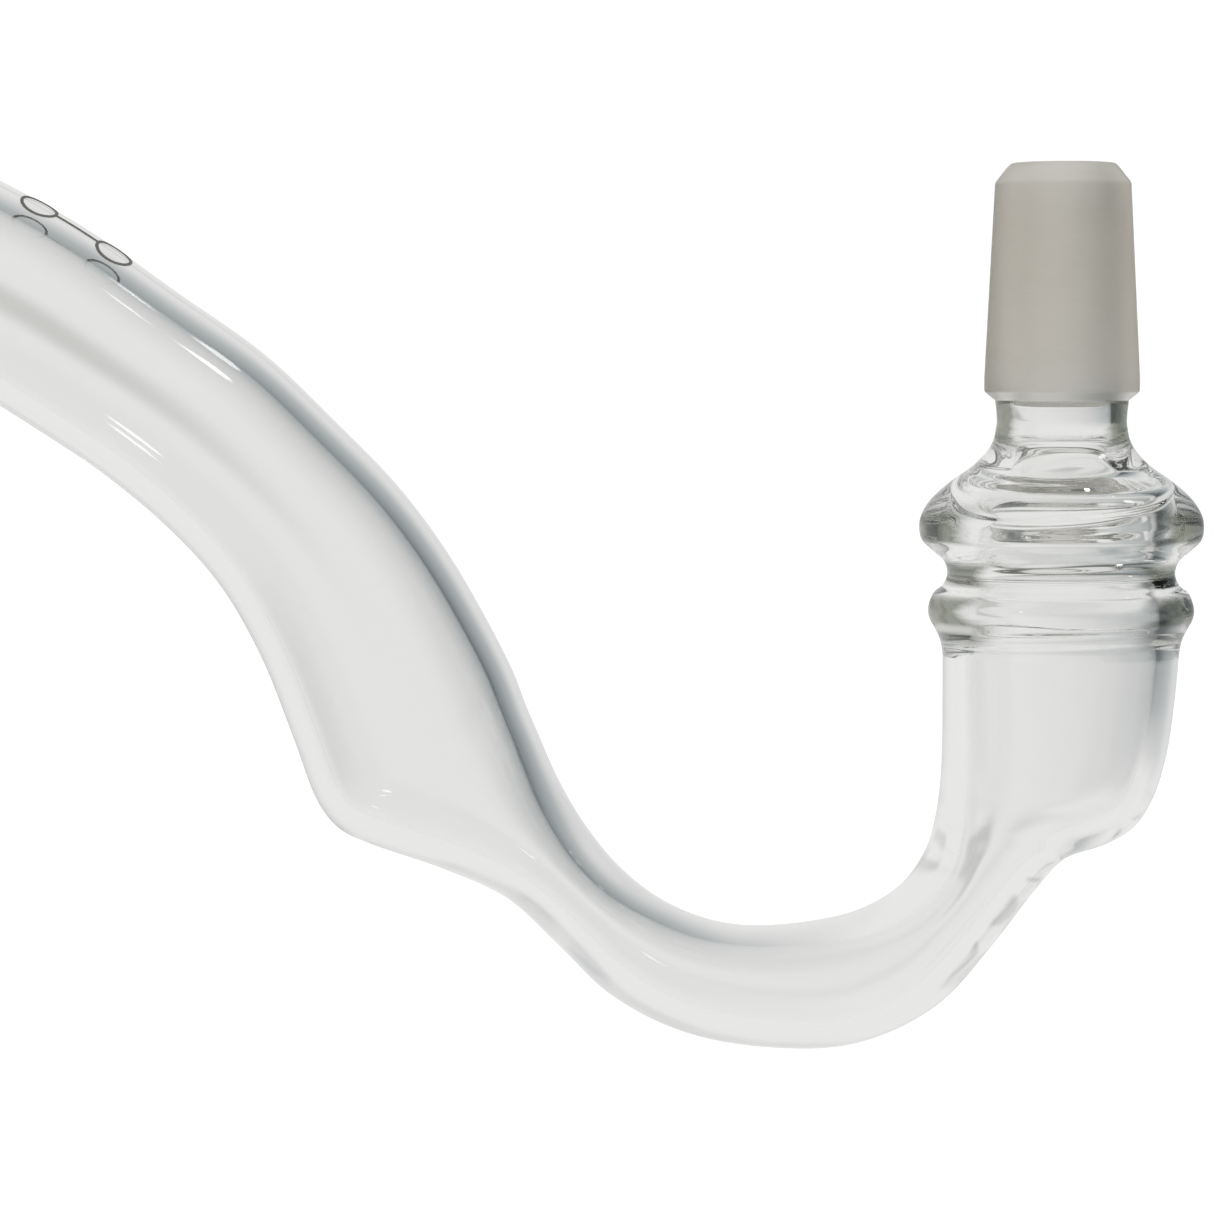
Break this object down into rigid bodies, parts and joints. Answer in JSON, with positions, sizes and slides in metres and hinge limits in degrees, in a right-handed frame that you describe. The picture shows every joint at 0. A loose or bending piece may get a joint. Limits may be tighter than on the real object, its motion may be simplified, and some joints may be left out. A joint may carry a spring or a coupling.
{
  "type": "bent glass joint adapter",
  "caption": "Clear glass hook-shaped adapter tube: ground male cone on a ringed collar, pinched return bend, and a swan neck rising to a long curved outlet.",
  "frame": {"origin": "centre of the ground cone's large end, on the cone's axis", "axes": "+Z along the cone towards its tip; the tube bends in the XZ plane and its outlet runs off towards -X; Y is across the tube"},
  "size_m": [0.1747, 0.0266, 0.1001],
  "materials": {
    "clear_glass": "clear fire-polished borosilicate",
    "ground_glass": "frosted, finely ground",
    "printed_ink": "thin fired-on print"
  },
  "bodies": {
    "root": {"ground_cone": "ground_glass", "joint_neck": "clear_glass", "shoulder_ring": "clear_glass", "weld_ring": "clear_glass", "inlet_tube": "clear_glass", "return_bend": "clear_glass", "swan_neck": "clear_glass", "outlet_tube": "clear_glass", "mouth_bead": "clear_glass", "printed_mark": "printed_ink"}
  },
  "joints": []
}
